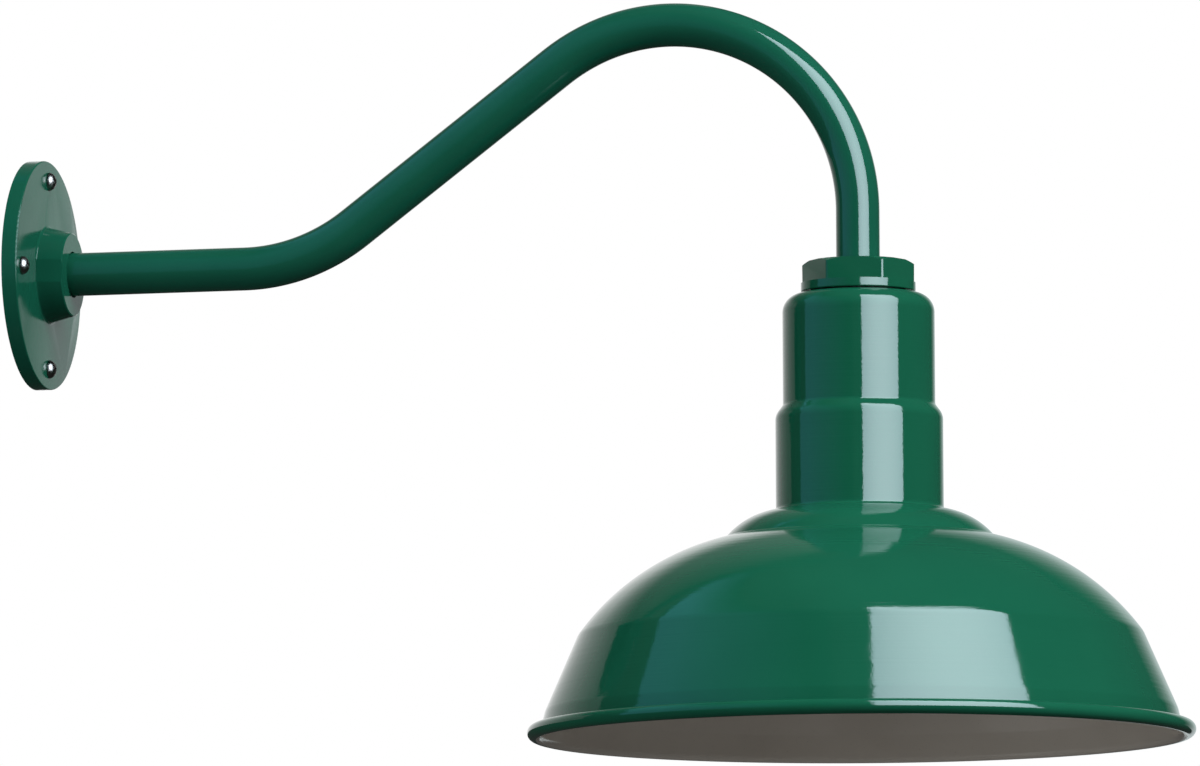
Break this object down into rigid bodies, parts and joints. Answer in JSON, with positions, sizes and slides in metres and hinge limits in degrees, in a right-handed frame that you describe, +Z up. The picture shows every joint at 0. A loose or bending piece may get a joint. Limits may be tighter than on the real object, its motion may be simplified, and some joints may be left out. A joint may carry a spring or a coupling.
{
  "type": "gooseneck wall sconce",
  "caption": "Wall light with a domed metal shade that hangs from a bent pipe arm on a round cast wall plate.",
  "frame": {"origin": "centre of the wall plate's back face, on the axis of the arm's first run", "axes": "+X out of the wall along the arm, +Z up, +Y sideways along the wall"},
  "size_m": [0.7587, 0.4064, 0.455],
  "materials": {
    "plate_enamel": "deep green gloss enamel",
    "arm_enamel": "deep green gloss enamel",
    "hub_enamel": "deep green gloss enamel",
    "shade_enamel": "deep green gloss enamel outside, white enamel inside",
    "dark_steel": "dark plated steel",
    "zinc_steel": "bright zinc plate",
    "black_rubber": "matte",
    "porcelain": "white glaze",
    "contact_brass": "bright",
    "nickel_shell": "bright rolled",
    "bushing_plastic": "moulded",
    "black_insulation": "satin",
    "white_insulation": "satin",
    "green_insulation": "satin",
    "copper_core": "bright copper",
    "green_screw": "green zinc plate",
    "bulb_glass": "soft white coating inside",
    "black_glass": "black glass",
    "solder": "bright solder"
  },
  "bodies": {
    "fixture": {"wall_plate": "plate_enamel", "wall_gasket": "black_rubber", "plate_screws": "dark_steel", "gooseneck_arm": "arm_enamel", "arm_set_screw": "dark_steel", "hub_cap": "hub_enamel", "hub_set_screw": "dark_steel", "hub_gasket": "black_rubber", "shade": "shade_enamel", "shade_lock_nut": "zinc_steel", "bracket_nut": "zinc_steel", "socket_bracket": "zinc_steel", "wire_bushing": "bushing_plastic", "socket_body": "porcelain", "socket_screws": "zinc_steel", "screw_shell": "nickel_shell", "centre_contact": "contact_brass", "black_lead": "black_insulation", "white_lead": "white_insulation", "earth_lead": "green_insulation", "lead_cores": "copper_core", "earth_terminal": "zinc_steel", "earth_screw": "green_screw"},
    "bulb_travel": {"bulb_tip": "solder"},
    "bulb": {"bulb_glass": "bulb_glass", "bulb_shell": "nickel_shell", "bulb_insulator": "black_glass"}
  },
  "joints": [
    {"name": "bulb_slide", "type": "slide", "parent": "fixture", "child": "bulb_travel", "axis": [0, 0, -1], "range_m": [0, 0.01815]},
    {"name": "bulb_turn", "type": "hinge", "parent": "bulb_travel", "child": "bulb", "pos_m": [0.52353, 0, -0.1], "axis": [0, 0, -1], "range_deg": [0, 1800]}
  ],
  "couplings": [
    {"joint": "bulb_slide", "follows": "bulb_turn", "m_per_rad": 0.00057751}
  ]
}
